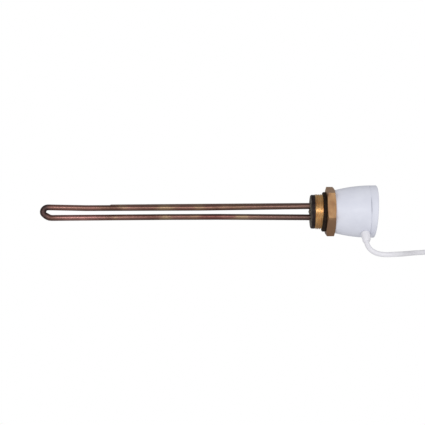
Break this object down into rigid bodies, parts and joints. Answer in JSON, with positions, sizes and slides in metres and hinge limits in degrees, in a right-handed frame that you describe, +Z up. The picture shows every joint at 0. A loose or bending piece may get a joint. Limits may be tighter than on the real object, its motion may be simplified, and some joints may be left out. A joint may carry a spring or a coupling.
{
  "type": "screw plug immersion heater",
  "caption": "Screw plug immersion heater: copper hairpin and sensor pocket in a threaded brass hexagon plug, with a bowed white terminal cap and a mains lead.",
  "frame": {"origin": "on the pipe thread's axis, at the face of the gasket that meets the tank", "axes": "+X along the heater from the tank towards the terminal cap, +Z up with the cord gland turned down"},
  "size_m": [0.684, 0.1095, 0.096],
  "materials": {
    "plug_brass": "turned, browned by heat",
    "header_metal": "dark oxide",
    "copper_tube": "drawn, heat stained",
    "braze": "dull",
    "steel": "zinc plated",
    "terminal_brass": "plain",
    "black_rubber": "matt",
    "seal_ceramic": "unglazed",
    "cap_plastic": "moulded, satin",
    "stat_plastic": "moulded",
    "dial_plastic": "moulded",
    "live_sleeve": "smooth",
    "neutral_sleeve": "smooth",
    "earth_sleeve": "smooth",
    "cord_sheath": "smooth",
    "tie_plastic": "smooth"
  },
  "bodies": {
    "heater": {"screw_plug": "plug_brass", "header_disc": "header_metal", "heating_element": "copper_tube", "thermostat_pocket": "copper_tube", "braze_fillets": "braze", "fixing_stud": "braze", "sealing_gasket": "black_rubber", "end_seals": "seal_ceramic", "terminal_pins": "steel", "cap_gasket": "black_rubber", "cap_housing": "cap_plastic", "cap_screws": "steel", "end_cover": "cap_plastic", "thermostat_body": "stat_plastic", "thermostat_stem": "terminal_brass", "stud_washer": "steel", "stud_nut": "steel", "terminal_clamps": "terminal_brass", "terminal_screws": "steel", "earth_tag": "terminal_brass", "earth_screw": "steel", "live_core": "live_sleeve", "neutral_core": "neutral_sleeve", "earth_core": "earth_sleeve", "cord_gland": "cord_sheath", "cord_clamp": "cord_sheath", "clamp_screws": "steel", "cord_end": "cord_sheath", "cord": "cord_sheath", "cord_coil": "cord_sheath", "cord_tail": "cord_sheath", "coil_tie": "tie_plastic", "mains_plug": "cord_sheath", "mains_pins": "steel", "earth_contacts": "steel"},
    "dial": {"thermostat_dial": "dial_plastic"}
  },
  "joints": [
    {"name": "dial_turn", "type": "hinge", "parent": "heater", "child": "dial", "pos_m": [0.038, 0.0105, 0.0075], "axis": [1, 0, 0], "range_deg": [-135, 135]}
  ]
}
